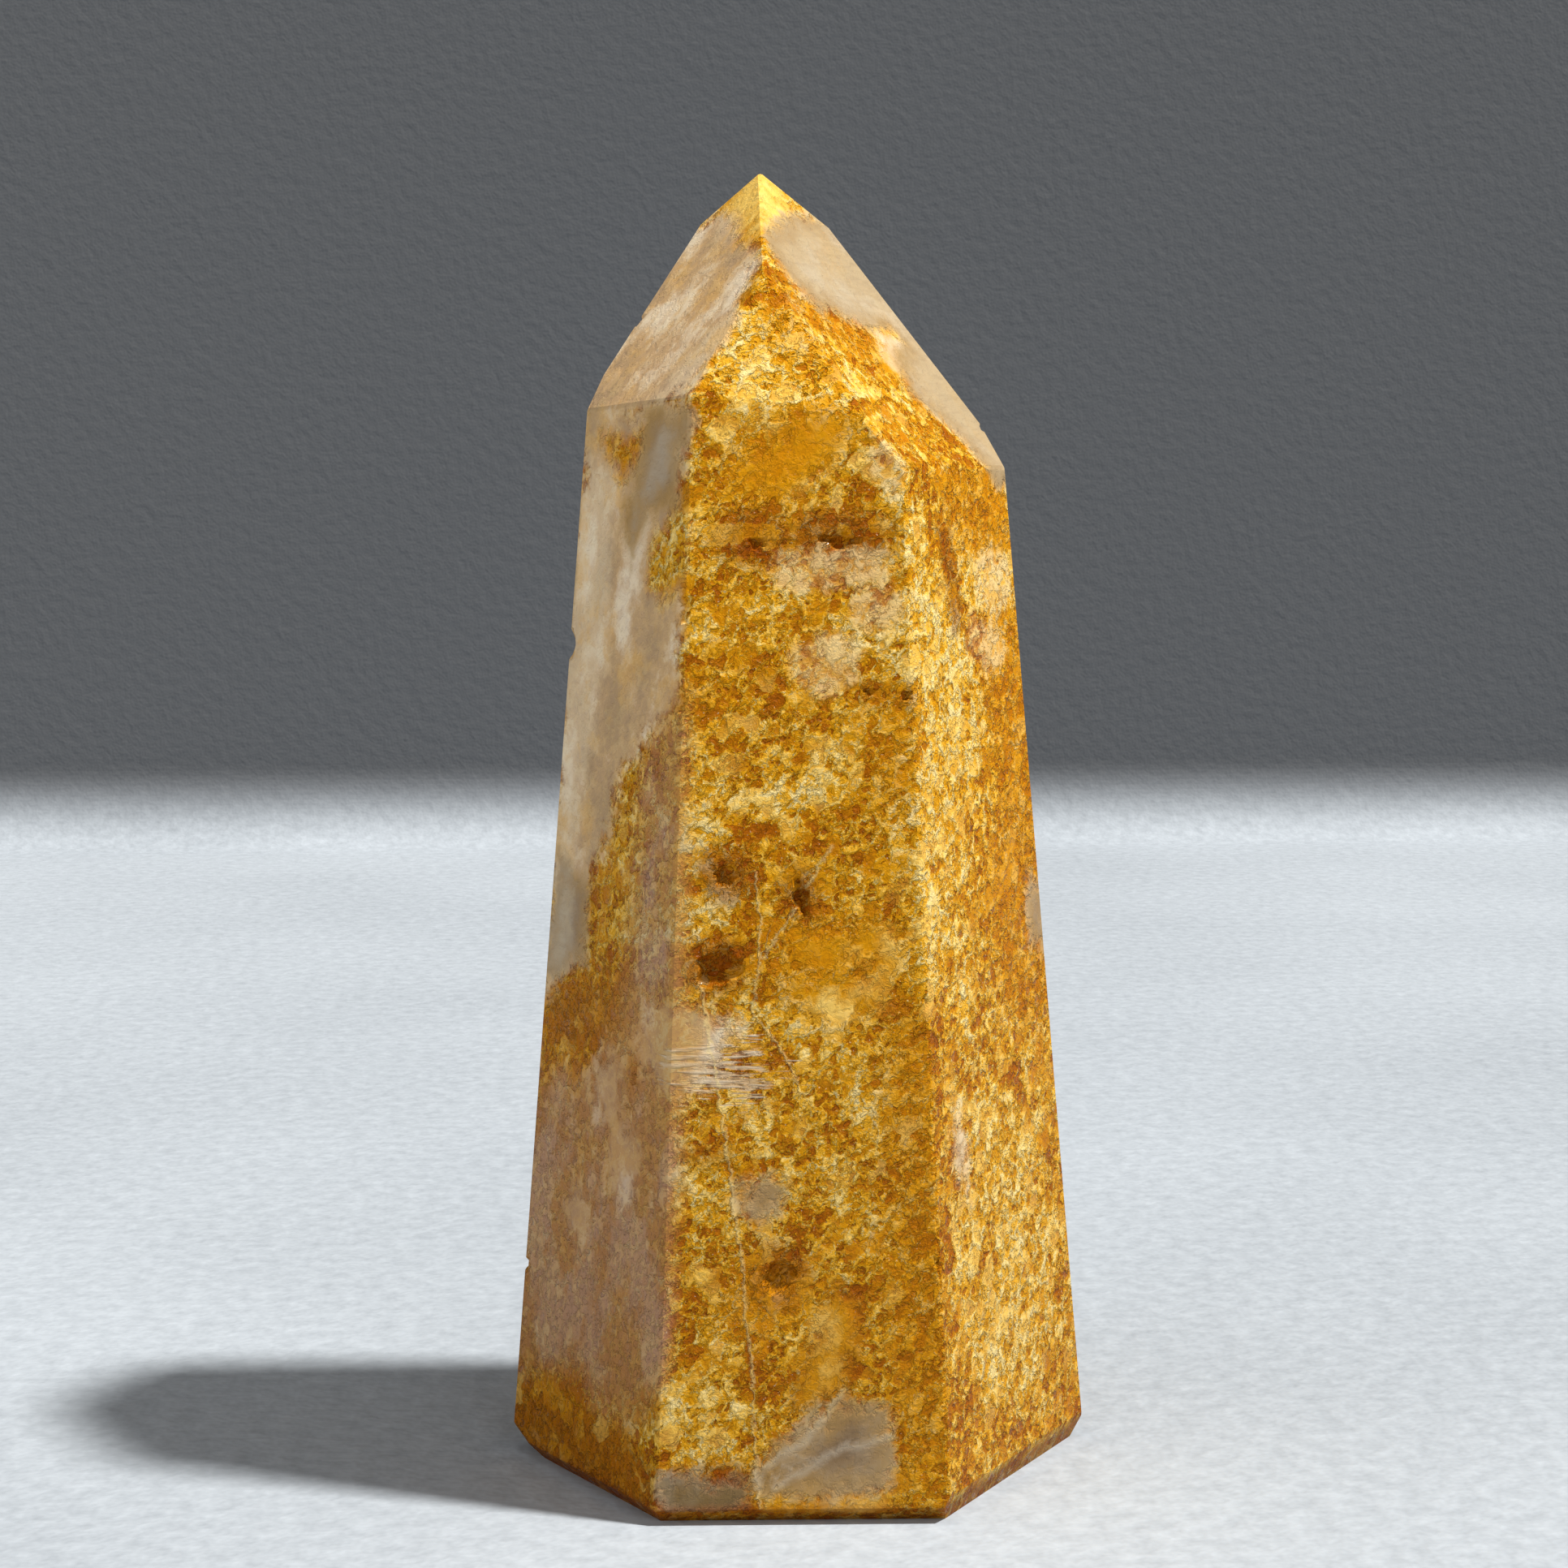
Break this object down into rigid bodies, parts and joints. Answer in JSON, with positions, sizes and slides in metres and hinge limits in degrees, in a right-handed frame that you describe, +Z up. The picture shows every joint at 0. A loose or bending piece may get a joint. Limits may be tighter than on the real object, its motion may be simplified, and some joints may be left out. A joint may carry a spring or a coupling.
{
  "type": "crystal tower",
  "caption": "Free-standing polished quartz point: six leaning sides, a faceted tip and a flat base, in golden healer quartz.",
  "frame": {"origin": "middle of the flat base, on the surface that the tower stands on", "axes": "+Z up the column to the tip, -Y towards the front side"},
  "size_m": [0.0362, 0.032, 0.0798],
  "materials": {
    "golden_quartz": "polished golden healer quartz: yellow to amber iron-stained flakes in translucent quartz, with milky and clear patches"
  },
  "bodies": {
    "root": {"quartz_tower": "golden_quartz"}
  },
  "joints": []
}
